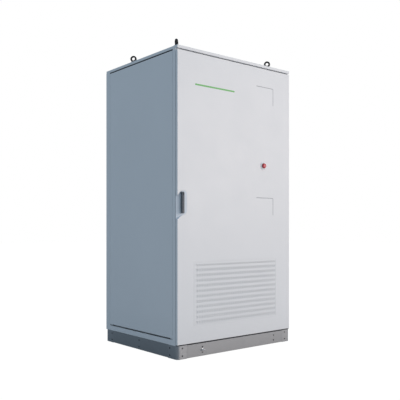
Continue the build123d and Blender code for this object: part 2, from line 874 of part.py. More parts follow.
with BuildPart() as handle_spindle:
    with BuildSketch(facing(gearbox_back)):
        with Locations((handle_x, spindle_z)):
            Circle(spindle / 2)
    extrude(amount=gearbox_back - boss_front + fit)
    with BuildSketch(facing(pinion_front + pinion_face)):
        with Locations((handle_x, spindle_z)):
            Circle(root_radius)
            with PolarLocations(pitch_radius, pinion_teeth):
                tooth(pinion_lean)
    extrude(amount=pinion_face)
    with BuildSketch(facing(boss_front - fit)):
        with Locations((handle_x, spindle_z)):
            Circle(spindle_disc / 2)
    extrude(amount=boss_front - fit + handle_standoff / 2)
    lug_front = handle_standoff + handle_thickness - lug_setback
    with BuildSketch(facing(0)):
        with Locations((handle_x, spindle_z)):
            Rectangle(spindle_lug, lug_height)
    extrude(amount=lug_front)
    with BuildSketch(Plane.YZ.offset(handle_x)):
        with Locations((handle_y, spindle_z)):
            Circle(handle_pin / 2)
    extrude(amount=spindle_lug, both=True, mode=Mode.SUBTRACT)
save(handle_spindle, "handle_spindle")

handle_front = handle_standoff + handle_thickness
with BuildPart() as handle_lever:
    with BuildSketch(facing(-handle_standoff)):
        patch(handle_x - handle_width / 2, handle_x + handle_width / 2,
              handle_bottom, handle_bottom + handle_length)
    extrude(amount=handle_thickness)
    fillet(handle_lever.edges().filter_by(Axis.Y).group_by(Axis.Z)[0], handle_end_radius)
    fillet(handle_lever.faces().sort_by(Axis.Z)[-1].edges().filter_by(Axis.X),
           handle_thickness / 2 - 0.05)
    chamfer(handle_lever.faces().sort_by(Axis.Y)[0].edges().filter_by(Axis.Z), 3)
    with BuildSketch(facing(-handle_front)):
        patch(handle_x - lug_slot / 2, handle_x + lug_slot / 2,
              spindle_z - handle_thickness / 2 - 3, spindle_z + handle_thickness)
    extrude(amount=-handle_thickness, mode=Mode.SUBTRACT)
    with BuildSketch(Plane.YZ.offset(handle_x)):
        with Locations((handle_y, spindle_z)):
            Circle(handle_pin / 2 + running_fit)
    extrude(amount=handle_width, both=True, mode=Mode.SUBTRACT)
    with BuildSketch(facing(-handle_front)):
        with Locations((handle_x, latch_z)):
            Circle(cylinder_plug / 2 + running_fit)
    extrude(amount=-cylinder_length, mode=Mode.SUBTRACT)
save(handle_lever, "handle_lever")

with BuildPart() as handle_pivot_pin:
    with BuildSketch(Plane.YZ.offset(handle_x)):
        with Locations((handle_y, spindle_z)):
            Circle(handle_pin / 2)
    extrude(amount=handle_width / 2 - 1, both=True)
save(handle_pivot_pin, "handle_pivot_pin")

with BuildPart() as key_cylinder:
    with BuildSketch(facing(-handle_front + cylinder_length)):
        with Locations((handle_x, latch_z)):
            Circle(cylinder_plug / 2)
    extrude(amount=cylinder_length)
    with BuildSketch(facing(-handle_front)):
        with Locations((handle_x, latch_z)):
            Rectangle(cylinder_plug / 5, cylinder_plug * 0.7)
    extrude(amount=-cylinder_length * 0.8, mode=Mode.SUBTRACT)
save(key_cylinder, "key_cylinder")

gearbox_play = 0.5
gearbox_half = rack_back + rod_width + gearbox_play
with BuildPart() as lock_gearbox:
    outer = gearbox_half + gearbox_wall
    block(handle_x - outer, handle_x + outer, front + gearbox_front, front + gearbox_back,
          spindle_z - gearbox_height / 2, spindle_z + gearbox_height / 2)
    block(handle_x - gearbox_half, handle_x + gearbox_half, front + gearbox_front + gearbox_wall,
          front + gearbox_back - gearbox_wall, spindle_z - gearbox_height / 2,
          spindle_z + gearbox_height / 2, mode=Mode.SUBTRACT)
    with BuildSketch(facing(gearbox_back)):
        with Locations((handle_x, spindle_z)):
            Circle(spindle / 2 + running_fit)
    extrude(amount=gearbox_back - gearbox_front, mode=Mode.SUBTRACT)
save(lock_gearbox, "lock_gearbox")


def lock_rod(span, tip_z, facing_side):
    """Flat lock rod with a rack beside the pinion; facing_side is where its teeth point."""
    away = 1 if tip_z > spindle_z else -1
    end_z = spindle_z - away * rod_end
    rack_teeth = 2 * rack_overlap + pinion_teeth // 4
    with BuildPart() as rod:
        block(span[0], span[1], front + rod_front, front + rod_back,
              min(end_z, tip_z), max(end_z, tip_z))
        chamfer(rod.faces().sort_by(Axis.Z)[-1 if away > 0 else 0].edges(), rod_width / 4)
        with BuildSketch(facing(rod_back)):
            for step in range(-rack_overlap, rack_teeth - rack_overlap):
                z = spindle_z + away * (step + 0.5) * tooth_pitch
                spot = Location((handle_x - facing_side * pitch_radius, z), 90 - 90 * facing_side)
                with Locations(spot):
                    tooth(rack_lean)
        extrude(amount=rod_depth)
    return rod


rod_end = (rack_overlap + 0.5) * tooth_pitch
save(lock_rod(upper_rod_x, top_ring_bottom + rod_tip, 1), "lock_rod_upper")
save(lock_rod(lower_rod_x, base_top - rod_tip, -1), "lock_rod_lower")

with BuildPart() as rod_guides:
    for span, levels in ((upper_rod_x, guide_levels_upper), (lower_rod_x, guide_levels_lower)):
        for z in levels:
            z0, z1 = z - guide_height / 2, z + guide_height / 2
            block(left + sheet + fit, span[1] + guide_wall, front + door_depth,
                  front + door_depth + sheet, z0, z1)
            block(span[0] - guide_wall, span[1] + guide_wall, front + door_depth,
                  front + rod_back + guide_wall, z0, z1)
            block(span[0] - guide_play, span[1] + guide_play, front + rod_front - guide_play,
                  front + rod_back + guide_play, z0, z1, mode=Mode.SUBTRACT)
save(rod_guides, "rod_guides")

with BuildPart() as lock_keepers:
    for span, z0 in ((upper_rod_x, top_ring_bottom - keeper_height), (lower_rod_x, base_top)):
        block(span[0] - slot_play - 4, span[1] + slot_play + 4, front + frame_front + sheet + fit,
              front + channel_floor - fit, z0, z0 + keeper_height)
        rod_slot(span, z0, z0 + keeper_height)
save(lock_keepers, "lock_keepers")

# ======================================================================
# Concealed hinges
# ======================================================================

knuckle_gap = fit
leaf_knuckle = hinge_height / 4
arm_half = hinge_height / 2 - leaf_knuckle - knuckle_gap


def hinge_circle(z, radius, height, mode=Mode.ADD):
    """Upright cylinder on the hinge axis."""
    with Locations((hinge_x, hinge_y, z)):
        Cylinder(radius, height, mode=mode)


with BuildPart() as hinge_leaves:
    for z in hinge_levels:
        back = front + sheet
        block(hinge_x - hinge_leaf_length, hinge_x - hinge_knuckle / 2 - 2, back,
              back + hinge_leaf, z - hinge_height / 2, z + hinge_height / 2)
        for side in (-1, 1):
            middle = z + side * (hinge_height - leaf_knuckle) / 2
            block(hinge_x - hinge_knuckle, hinge_x, back, back + hinge_leaf,
                  middle - leaf_knuckle / 2, middle + leaf_knuckle / 2)
            hinge_circle(middle, hinge_knuckle / 2, leaf_knuckle)
        hinge_circle(z, hinge_pin / 2, 2 * hinge_height, Mode.SUBTRACT)
save(hinge_leaves, "hinge_leaves")

with BuildPart() as hinge_arms:
    for z in hinge_levels:
        block(hinge_x - hinge_arm / 2, hinge_x + hinge_arm / 2, hinge_y, front + frame_front,
              z - arm_half, z + arm_half)
        hinge_circle(z, hinge_knuckle / 2, 2 * arm_half)
        hinge_circle(z, hinge_pin / 2 + running_fit, 4 * arm_half, Mode.SUBTRACT)
save(hinge_arms, "hinge_arms")

with BuildPart() as hinge_pins:
    for z in hinge_levels:
        hinge_circle(z, hinge_pin / 2, hinge_height)
        with Locations((hinge_x, hinge_y, z + hinge_height / 2 + 1)):
            Cylinder(hinge_knuckle / 2 - 1, 2)
save(hinge_pins, "hinge_pins")

# ======================================================================
# Emergency stop
# ======================================================================

with BuildPart() as stop_guard:
    with BuildSketch(facing(0)):
        with Locations((stop_x, stop_z)):
            Circle(stop_ring / 2)
    extrude(amount=stop_ring_height, taper=12)
    with BuildSketch(facing(0)):
        with Locations((stop_x, stop_z)):
            Circle(stop_ring_bore / 2)
    extrude(amount=stop_ring_height, mode=Mode.SUBTRACT)
save(stop_guard, "stop_guard")

head_back = stop_travel + stop_head_gap
stem_back = sheet + stop_stem_reach
with BuildPart() as stop_head_button:
    with BuildSketch(facing(-head_back)):
        with Locations((stop_x, stop_z)):
            Circle(stop_head / 2)
    extrude(amount=stop_head_height)
    fillet(stop_head_button.faces().sort_by(Axis.Y)[0].edges(), stop_head_height / 2)
    with BuildSketch(facing(stem_back)):
        with Locations((stop_x, stop_z)):
            Circle(stop_stem / 2)
    extrude(amount=stem_back + head_back)
save(stop_head_button, "stop_head")

with BuildPart() as stop_contact_block:
    half = stop_block / 2
    block(stop_x - half, stop_x + half, front + sheet, front + sheet + stop_block_depth,
          stop_z - half, stop_z + half)
    with BuildSketch(facing(stem_back + stop_travel + fit)):
        with Locations((stop_x, stop_z)):
            Circle(stop_stem / 2 + fit)
    extrude(amount=stem_back + stop_travel, mode=Mode.SUBTRACT)
save(stop_contact_block, "stop_contact_block")

# ======================================================================
# Battery rack, modules and control unit
# ======================================================================

rack_half = width / 2 - rack_side_gap
module_width = rack_half - upright * 1.5 - 2 * (frame_gauge + module_play)
module_depth = depth - module_front - rack_rear_gap
post_x = (-rack_half + upright / 2, 0, rack_half - upright / 2)
module_y = front + module_front
upright_front = module_y + upright_setback
upright_rear = module_y + module_depth - upright - upright_setback
control_bottom = first_module + module_levels * module_pitch
upright_top = control_bottom + control_height + upright_overrun
with BuildPart() as rack_uprights:
    for x in post_x:
        for y in (upright_front, upright_rear):
            half = upright / 2
            block(x - half, x + half, y, y + upright, floor_top, upright_top)
            block(x - half + frame_gauge, x + half - frame_gauge, y + frame_gauge,
                  y + upright - frame_gauge, floor_top, upright_top, mode=Mode.SUBTRACT)
save(rack_uprights, "rack_uprights")

bays = []
for a, b in ((post_x[0], post_x[1]), (post_x[1], post_x[2])):
    bays.append((a + upright / 2, b - upright / 2))
shelf_levels = [first_module + n * module_pitch for n in range(module_levels + 1)]
with BuildPart() as module_runners:
    for z in shelf_levels:
        for x0, x1 in bays:
            for wall, tip in ((x0, x0 + runner_width), (x1, x1 - runner_width)):
                inner = wall + frame_gauge * (1 if tip > wall else -1)
                block(min(wall, inner), max(wall, inner), upright_front, upright_rear + upright,
                      z - frame_gauge, z + runner_height)
                block(min(wall, tip), max(wall, tip), upright_front, upright_rear + upright,
                      z - frame_gauge, z)
save(module_runners, "module_runners")


def grips(x, y, z, wide, high):
    """Two grab handles on the front of a rack unit."""
    half = grip_share * high / 2
    for side in (-1, 1):
        a = x + side * (wide / 2 - grip_inset) - grip_width / 2
        b = a + grip_width
        block(a, b, y - grip_reach, y - grip_reach + grip_bar, z - half, z + half)
        for foot in (z - half, z + half - grip_width):
            block(a, b, y - grip_reach + grip_bar, y, foot, foot + grip_width)


def battery_modules(number):
    """Pair of modules on one level: case, front plate, handles and two power connectors."""
    z0 = first_module + (number - 1) * module_pitch
    z1 = z0 + module_height
    with BuildPart() as pair:
        for x0, x1 in bays:
            x = (x0 + x1) / 2
            half = module_width / 2
            block(x - half, x + half, module_y + front_plate, module_y + module_depth, z0, z1)
            block(x - half - plate_overhang, x + half + plate_overhang, module_y,
                  module_y + front_plate, z0, z1)
            grips(x, module_y, (z0 + z1) / 2, module_width, module_height)
            for plug in (x - plug_offset, x + plug_offset):
                block(plug - plug_width / 2, plug + plug_width / 2, module_y - plug_reach,
                      module_y, z1 - plug_top_gap - plug_width, z1 - plug_top_gap)
    return pair


for number in range(1, module_levels + 1):
    save(battery_modules(number), "battery_modules_%d" % number)

with BuildPart() as busbars:
    bar_back = module_y - plug_reach
    for x0, x1 in bays:
        for side in (-1, 1):
            bar = (x0 + x1) / 2 + side * plug_offset
            block(bar - busbar_width / 2, bar + busbar_width / 2, bar_back - busbar_gauge, bar_back,
                  first_module + module_height - plug_top_gap - plug_width,
                  control_bottom + busbar_rise)
save(busbars, "busbars")

control_top = control_bottom + control_height
with BuildPart() as control_unit:
    for x0, x1 in bays:
        block(x0 + frame_gauge + plate_overhang, x1 - frame_gauge - plate_overhang,
              module_y + front_plate, module_y + module_depth, control_bottom,
              control_top - control_case_gap)
    plate_half = bays[1][1] - frame_gauge - plate_overhang + 1
    block(-plate_half, plate_half, module_y, module_y + front_plate, control_bottom,
          control_top - control_plate_gap)
    grips(0, module_y, (control_bottom + control_top) / 2 - control_plate_gap,
          2 * plate_half, control_height)
save(control_unit, "control_unit")

breaker_z = (control_bottom + control_top) / 2 - breaker_drop
breaker_front = module_front - fit - breaker_boss_height
with BuildPart() as breaker_handle:
    with BuildSketch(facing(module_front - fit)):
        with Locations((0, breaker_z)):
            Circle(breaker_boss / 2)
    extrude(amount=breaker_boss_height)
    with BuildSketch(facing(breaker_front)):
        with Locations((0, breaker_z)):
            SlotOverall(breaker_grip_length, breaker_grip_width)
    extrude(amount=breaker_grip_height, taper=5)
save(breaker_handle, "breaker_handle")

with BuildPart() as smoke_detector:
    with BuildSketch(level(fascia_bottom)):
        with Locations((0, lifting_rear_y)):
            Circle(detector_base / 2)
    extrude(amount=-detector_base_height)
    with BuildSketch(level(fascia_bottom - detector_base_height)):
        with Locations((0, lifting_rear_y)):
            Circle(detector_head / 2)
    extrude(amount=-detector_head_height, taper=20)
save(smoke_detector, "smoke_detector")

# ======================================================================
# Cooling unit on the inside of the door
# ======================================================================

cooler_front = sheet + stiffener_depth
cooler_z = (field[2] + field[3]) / 2
cooler_x = (field[0] + field[1]) / 2
cooler_width = field[1] - field[0] + 2 * cooler_cover
cooler_height = field[3] - field[2] + 2 * vent_flange
fan_setback = cooler_front + fan_front_gap
with BuildPart() as cooling_unit:
    block(cooler_x - cooler_width / 2, cooler_x + cooler_width / 2, front + cooler_front,
          front + cooler_front + cooler_depth, cooler_z - cooler_height / 2,
          cooler_z + cooler_height / 2)
    offset(amount=-sheet, openings=cooling_unit.faces().sort_by(Axis.Y)[0])
    tab = width / 2 - stiffener_inset - cooler_tab_end
    for side in (-1, 1):
        edge = cooler_x + side * (cooler_width / 2 - sheet)
        block(min(edge, side * tab), max(edge, side * tab), front + cooler_front,
              front + cooler_front + sheet, cooler_z - cooler_height / 2,
              cooler_z + cooler_height / 2)
    with BuildSketch(facing(cooler_front + cooler_depth)):
        with Locations((cooler_x, cooler_z)):
            with GridLocations(fan_spacing, guard_pitch, 2, guard_slots):
                SlotOverall(fan_diameter, guard_slot)
    extrude(amount=sheet, mode=Mode.SUBTRACT)
    with BuildSketch(facing(cooler_front + cooler_depth)):
        with Locations((cooler_x, cooler_z)):
            with GridLocations(fan_spacing, 1, 2, 1):
                Circle(fan_hub / 2)
    extrude(amount=cooler_front + cooler_depth - fan_setback - fan_depth - fit)
    with BuildSketch(facing(cooler_front + cooler_depth)):
        with Locations((cooler_x, cooler_z)):
            with GridLocations(fan_spacing, 1, 2, 1):
                Circle(fan_shaft / 2)
    extrude(amount=cooler_front + cooler_depth - fan_setback)
save(cooling_unit, "cooling_unit")


def cooling_fan(x):
    """Axial fan rotor with twisted blades on a hub bored for the motor shaft."""
    with BuildPart() as rotor:
        for turn in range(fan_blades):
            for setback, lean in ((fan_setback + fan_depth - fan_blade_inset, 0),
                                  (fan_setback + fan_blade_inset, fan_blade_twist)):
                angle = turn * 360 / fan_blades + lean
                with BuildSketch(facing(setback)):
                    with Locations(Location((x, cooler_z), angle)):
                        with Locations((fan_diameter / 4, 0)):
                            Rectangle(fan_diameter / 2, fan_blade_gauge)
            loft()
        with BuildSketch(facing(fan_setback + fan_depth)):
            with Locations((x, cooler_z)):
                Circle(fan_hub / 2)
        extrude(amount=fan_depth)
        with BuildSketch(facing(fan_setback + fan_depth)):
            with Locations((x, cooler_z)):
                Circle(fan_shaft / 2 + running_fit)
        extrude(amount=fan_depth, mode=Mode.SUBTRACT)
    return rotor


save(cooling_fan(cooler_x - fan_spacing / 2), "cooling_fan_left")
save(cooling_fan(cooler_x + fan_spacing / 2), "cooling_fan_right")
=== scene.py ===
"""Battery cabinet: finishes and fine pieces built around the fixed frame of the cabinet."""

import json
import math

import bmesh
import bpy
from mathutils import Matrix, Vector


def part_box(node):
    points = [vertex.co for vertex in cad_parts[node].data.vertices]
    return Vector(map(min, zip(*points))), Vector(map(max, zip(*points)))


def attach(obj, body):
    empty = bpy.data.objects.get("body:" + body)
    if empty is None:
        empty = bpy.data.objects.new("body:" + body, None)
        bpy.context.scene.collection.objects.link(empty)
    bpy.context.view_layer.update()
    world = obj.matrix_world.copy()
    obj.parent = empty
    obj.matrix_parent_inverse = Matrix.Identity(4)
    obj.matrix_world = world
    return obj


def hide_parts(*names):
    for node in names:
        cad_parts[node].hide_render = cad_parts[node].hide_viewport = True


bl_info = {
    "name": "Battery cabinet",
    "version": (1, 0, 0),
    "blender": (4, 5, 0),
    "location": "View3D > Sidebar > Cabinet",
    "description": "Finishes, vent, lifting eyes, stop button and fastenings of a battery cabinet",
    "category": "Add Mesh",
}

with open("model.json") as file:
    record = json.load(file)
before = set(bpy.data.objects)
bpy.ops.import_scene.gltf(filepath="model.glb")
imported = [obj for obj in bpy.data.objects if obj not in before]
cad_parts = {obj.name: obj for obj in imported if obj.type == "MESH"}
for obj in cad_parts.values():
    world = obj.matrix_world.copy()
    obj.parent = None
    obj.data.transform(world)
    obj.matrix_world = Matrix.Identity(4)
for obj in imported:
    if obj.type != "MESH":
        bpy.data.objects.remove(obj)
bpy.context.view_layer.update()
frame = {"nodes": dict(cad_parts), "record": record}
MM = 0.001
WELD = 0.000001           # points nearer than this are one point


# ---------------------------------------------------------------- settings


class CabinetSizes(bpy.types.PropertyGroup):
    """Sizes of the fine pieces that a user would change."""

    vent_rows: bpy.props.IntProperty(
        name="Vent rows", description="Rows of holes in the vent", default=12)
    vent_columns: bpy.props.IntProperty(
        name="Vent columns", description="Holes in each row of the vent", default=35)
    vent_width: bpy.props.FloatProperty(
        name="Vent width", description="Width of the field of holes", default=0.852, unit="LENGTH")
    vent_pitch: bpy.props.FloatProperty(
        name="Row pitch", description="Distance from one row of holes to the next", default=0.0391,
        unit="LENGTH")
    hole_height: bpy.props.FloatProperty(
        name="Hole height", description="Height of a hole from point to point", default=0.0245,
        unit="LENGTH")
    web: bpy.props.FloatProperty(
        name="Web", description="Metal left between two holes of a row", default=0.0042, unit="LENGTH")
    eye_wire: bpy.props.FloatProperty(
        name="Eye wire", description="Radius of the lifting eye's ring section", default=0.0076,
        unit="LENGTH")


class CabinetColours(bpy.types.PropertyGroup):
    """Colours of the finishes that a user would change."""

    coat: bpy.props.FloatVectorProperty(
        name="Powder coat", description="Body, door and roof", subtype="COLOR", size=3,
        default=(0.70, 0.71, 0.725))
    plinth: bpy.props.FloatVectorProperty(
        name="Plinth coat", description="Plinth panels and corners", subtype="COLOR", size=3,
        default=(0.31, 0.32, 0.333))
    handle: bpy.props.FloatVectorProperty(
        name="Handle", description="Swing handle", subtype="COLOR", size=3,
        default=(0.105, 0.116, 0.133))
    stop: bpy.props.FloatVectorProperty(
        name="Stop button", description="Emergency stop head", subtype="COLOR", size=3,
        default=(0.50, 0.02, 0.04))
    stripe: bpy.props.FloatVectorProperty(
        name="Status stripe", description="Light stripe in the door", subtype="COLOR", size=3,
        default=(0.15, 0.46, 0.135))


# ---------------------------------------------------------------- shader maths


class Wire:
    """A shader socket that takes part in plain arithmetic."""

    def __init__(self, tree, socket):
        self.tree = tree
        self.socket = socket

    def maths(self, operation, *values):
        node = self.tree.nodes.new("ShaderNodeMath")
        node.operation = operation
        for place, value in zip(node.inputs, values):
            if isinstance(value, Wire):
                self.tree.links.new(value.socket, place)
            else:
                place.default_value = value
        return Wire(self.tree, node.outputs[0])

    def __add__(self, other):
        return self.maths("ADD", self, other)

    def __radd__(self, other):
        return self.maths("ADD", other, self)

    def __sub__(self, other):
        return self.maths("SUBTRACT", self, other)

    def __rsub__(self, other):
        return self.maths("SUBTRACT", other, self)

    def __mul__(self, other):
        return self.maths("MULTIPLY", self, other)

    def __rmul__(self, other):
        return self.maths("MULTIPLY", other, self)

    def clamped(self):
        """The value held between 0 and 1."""
        return self.maths("MINIMUM", self.maths("MAXIMUM", self, 0.0), 1.0)


class Finish:
    """One material and the nodes that make it."""

    def __init__(self, name, **constants):
        self.material = bpy.data.materials.new(name)
        self.material.use_nodes = True
        self.tree = self.material.node_tree
        self.surface = self.tree.nodes["Principled BSDF"]
        for socket, value in constants.items():
            self.surface.inputs[socket.replace("_", " ")].default_value = value
        self.place = self.node("ShaderNodeTexCoord").outputs["Object"]

    def node(self, kind, settings=(), **inputs):
        """Any other node: its type, its settings, then its sockets' values or links."""
        made = self.tree.nodes.new(kind)
        for name, value in dict(settings).items():
            setattr(made, name, value)
        for name, value in inputs.items():
            key = int(name[1:]) if name[1:].isdigit() else name.replace("_", " ")
            place = made.inputs[key]
            if isinstance(value, Wire):
                value = value.socket
            if isinstance(value, bpy.types.NodeSocket):
                self.tree.links.new(value, place)
            else:
                place.default_value = value
        return made

    def noise(self, scale, detail=3.0, roughness=0.5, stretch=None):
        """Grey noise between 0 and 1, optionally stretched along the axes."""
        vector = self.place
        if stretch:
            vector = self.node("ShaderNodeMapping", Vector=vector, Scale=stretch).outputs[0]
        made = self.node("ShaderNodeTexNoise", Vector=vector, Scale=scale, Detail=detail,
                         Roughness=roughness)
        return Wire(self.tree, made.outputs[0])

    def along(self, axis):
        """The point's place along an axis of the cabinet, in metres."""
        split = self.node("ShaderNodeSeparateXYZ", Vector=self.place)
        return Wire(self.tree, split.outputs[axis])

    def mixed(self, mask, low, high):
        """Colour between two others."""
        made = self.node("ShaderNodeMix", {"data_type": "RGBA"})
        for index, value in ((0, mask), (6, low), (7, high)):
            if isinstance(value, Wire):
                value = value.socket
            if isinstance(value, bpy.types.NodeSocket):
                self.tree.links.new(value, made.inputs[index])
            else:
                made.inputs[index].default_value = (*value, 1) if index else value
        return made.outputs[2]

    def feed(self, socket, value):
        """Link a varying value to a socket of the surface."""
        self.tree.links.new(value.socket if isinstance(value, Wire) else value,
                            self.surface.inputs[socket])

    def bump(self, height, strength, distance):
        """Relief from a grey value."""
        made = self.node("ShaderNodeBump", Strength=strength, Distance=distance, Height=height)
        self.feed("Normal", made.outputs[0])


def shade(colour, factor):
    """A colour made lighter or darker."""
    return tuple(min(1.0, part * factor) for part in colour)


def powder_coat(name, colour, grain=900.0, gloss=0.42, depth=0.00035, flake=0.0):
    """Textured powder coat: orange-peel relief, faint cloudiness and darker patches towards the bottom.
    """
    made = Finish(name, IOR=1.48, Metallic=flake)
    cloud = made.noise(1.6, 4.0)
    fleck = made.noise(grain, 2.0)
    patch_noise = made.noise(7.0, 5.0, 0.6)
    base = made.mixed(cloud, shade(colour, 0.965), shade(colour, 1.03))
    # darker in noisy patches over the lowest 0.31 m
    low = (1.0 - made.along("Z") * 3.2).clamped() * patch_noise
    made.feed("Base Color", made.mixed(low * 0.35, base, shade(colour, 0.72)))
    made.feed("Roughness", gloss + (patch_noise - 0.5) * 0.14 + (fleck - 0.5) * 0.08)
    made.bump(fleck + made.noise(grain / 4, 2.0) * 0.8, 0.22, depth)
    return made.material


def zinc_plate(name, colour, gloss=0.34):
    """Passivated zinc: spangled tone and fine rolling lines."""
    made = Finish(name, Metallic=1.0)
    cells = made.node("ShaderNodeTexVoronoi", Vector=made.place, Scale=110.0)
    parts = made.node("ShaderNodeSeparateColor", Color=cells.outputs["Color"])
    spangle = Wire(made.tree, parts.outputs[0])
    lines = made.noise(60.0, 3.0, 0.6, (1.0, 1.0, 0.04))
    tone = spangle * 0.5 + lines * 0.5
    made.feed("Base Color", made.mixed(tone, shade(colour, 0.8), shade(colour, 1.12)))
    made.feed("Roughness", gloss + (spangle - 0.5) * 0.12 + (lines - 0.5) * 0.12)
    made.bump(lines, 0.12, 0.0003)
    return made.material


def enamel(name, colour, gloss=0.35, worn=0.25, metal=0.0):
    """Dark stoving enamel with rubbed patches."""
    made = Finish(name, Metallic=metal, IOR=1.5)
    rubbed = (made.noise(34.0, 5.0, 0.65) - 0.52) * 5.0
    rubbed = rubbed.clamped()
    made.feed("Base Color", made.mixed(rubbed * worn, shade(colour, 0.9), shade(colour, 1.7)))
    made.feed("Roughness", gloss + rubbed * 0.12 + made.noise(300.0) * 0.08)
    made.bump(made.noise(700.0, 2.0), 0.15, 0.0002)
    return made.material


def moulded(name, colour, gloss=0.4, grain=1200.0, relief=0.15):
    """Moulded plastic: fine spark-eroded grain and slight flow marks."""
    made = Finish(name, IOR=1.47)
    flow = made.noise(18.0, 3.0, 0.5, (1.0, 1.0, 0.35))
    made.feed("Base Color", made.mixed(flow, shade(colour, 0.93), shade(colour, 1.06)))
    made.feed("Roughness", gloss + (flow - 0.5) * 0.12)
    made.bump(made.noise(grain, 2.0), relief, 0.00025)
    return made.material


def fibre_mat(name, colour):
    """Filter mat: tangled fibres."""
    made = Finish(name, Roughness=0.95)
    strands = made.node("ShaderNodeTexVoronoi", {"feature": "DISTANCE_TO_EDGE"}, Vector=made.place,
                        Scale=420.0)
    tangle = (Wire(made.tree, strands.outputs["Distance"]) * 9.0).clamped()
    wad = made.noise(55.0, 5.0, 0.6)
    tone = tangle * 0.5 + wad * 0.5
    made.feed("Base Color", made.mixed(tone, shade(colour, 0.78), shade(colour, 1.08)))
    made.bump(tangle + wad, 0.6, 0.001)
    return made.material


LIGHT_SPACING = 0.02      # distance between the lights behind the stripe


def light_stripe(name, colour):
    """Diffusing strip with light segments behind it."""
    made = Finish(name, Roughness=0.5, Emission_Strength=0.02)
    across = made.along("X")
    segment = across.maths("SINE", across * (2 * math.pi / LIGHT_SPACING))
    tone = made.mixed(segment * 0.5 + 0.5, shade(colour, 0.92), shade(colour, 1.08))
    made.feed("Base Color", tone)
    made.feed("Emission Color", tone)
    return made.material


def copper_bar(name, colour):
    """Bare copper with handling tarnish."""
    made = Finish(name, Metallic=1.0)
    stain = made.noise(28.0, 6.0, 0.65)
    made.feed("Base Color", made.mixed(stain, shade(colour, 0.6), shade(colour, 1.1)))
    made.feed("Roughness", 0.25 + stain * 0.3)
    made.bump(made.noise(90.0, 3.0, 0.6, (1.0, 1.0, 0.05)), 0.15, 0.0002)
    return made.material


# ---------------------------------------------------------------- mesh helpers


def piece(name, mesh_maker, material, body, replaced=(), smooth=False, bevel=0.0):
    """New mesh object, filled by a function, that rides on a body."""
    mesh = bpy.data.meshes.new(name)
    shape = bmesh.new()
    mesh_maker(shape)
    bmesh.ops.recalc_face_normals(shape, faces=shape.faces)
    shape.to_mesh(mesh)
    shape.free()
    made = bpy.data.objects.new(name, mesh)
    bpy.context.scene.collection.objects.link(made)
    mesh.materials.append(material)
    for face in mesh.polygons:
        face.use_smooth = smooth
    if bevel:
        edge = made.modifiers.new("edge", "BEVEL")
        edge.width = bevel
        edge.segments = 3
        edge.limit_method = "ANGLE"
        edge.angle_limit = math.radians(35)
    if smooth:
        mesh.set_sharp_from_angle(angle=math.radians(38))
    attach(made, body)
    if replaced:
        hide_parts(*replaced)
    return made


def turned(shape, profile, place, steps=48):
    """Solid of revolution: profile is (radius, distance) pairs along the axis of place."""
    rings = []
    for radius, distance in profile:
        if radius == 0:
            rings.append([shape.verts.new(place @ Vector((0, 0, distance)))])
            continue
        ring = []
        for step in range(steps):
            angle = 2 * math.pi * step / steps
            point = Vector((radius * math.cos(angle), radius * math.sin(angle), distance))
            ring.append(shape.verts.new(place @ point))
        rings.append(ring)
    for near, far in zip(rings, rings[1:]):
        for step in range(steps):
            after = (step + 1) % steps
            corners = [near[step % len(near)], near[after % len(near)],
                       far[after % len(far)], far[step % len(far)]]
            unique = list(dict.fromkeys(corners))
            if len(unique) > 2:
                shape.faces.new(unique)


def skinned(shape, rings):
    """Quads between neighbouring closed rings of points."""
    for near, far in zip(rings, rings[1:]):
        count = len(near)
        for step in range(count):
            after = (step + 1) % count
            shape.faces.new((near[step], near[after], far[after], far[step]))


def capped(shape, rings):
    """Skin between the rings, closed by a face at each end."""
    skinned(shape, rings)
    shape.faces.new(rings[0])
    shape.faces.new(rings[-1])


def slab(shape, low, high):
    """Box between two corners."""
    middle = (Vector(low) + Vector(high)) / 2
    size = Vector(high) - Vector(low)
    place = Matrix.Translation(middle) @ Matrix.Diagonal((*size, 1))
    bmesh.ops.create_cube(shape, size=1.0, matrix=place)


def outwards(x, y, z):
    """Place on the door face: local X to the right, local Y up, local Z out of the door."""
    return Matrix.Translation((x, y, z)) @ Matrix.Rotation(math.pi / 2, 4, "X")


def finish_named(name):
    """Material made by the finishes operator."""
    return bpy.data.materials[name]


def islands(node):
    """Low and high corner of each separate solid of a frame node."""
    shape = bmesh.new()
    shape.from_mesh(frame["nodes"][node].data)
    bmesh.ops.remove_doubles(shape, verts=shape.verts, dist=WELD)
    waiting = set(shape.verts)
    boxes = []
    while waiting:
        edge = [waiting.pop()]
        found = list(edge)
        while edge:
            for link in edge.pop().link_edges:
                for vert in link.verts:
                    if vert in waiting:
                        waiting.discard(vert)
                        edge.append(vert)
                        found.append(vert)
        boxes.append((Vector(min(v.co[i] for v in found) for i in range(3)),
                      Vector(max(v.co[i] for v in found) for i in range(3))))
    shape.free()
    return sorted(boxes, key=lambda box: tuple(round(c, 5) for c in box[0]))


HEX_LEAN = 0.3            # turn of every screw head, in radians
WASHER_GAUGE = 0.0007


def hex_head(shape, place, across, height, washer):
    """Hexagon head with a chamfered crown on its washer; place's Z points out of the panel."""
    turned(shape, ((0, 0), (washer, 0), (washer, 0.0004), (washer * 0.96, WASHER_GAUGE),
                   (0, WASHER_GAUGE)), place, 32)
    corner = across / math.sqrt(3)
    angles = [HEX_LEAN + math.pi / 3 * step for step in range(6)]
    levels = ((corner, WASHER_GAUGE), (corner, height - 0.0005), (corner * 0.86, height),
              (corner * 0.35, height), (corner * 0.3, height - 0.0003))
    rows = []
    for radius, out in levels:
        rows.append([shape.verts.new(place @ Vector((radius * math.cos(a), radius * math.sin(a), out)))
                     for a in angles])
    capped(shape, rows)


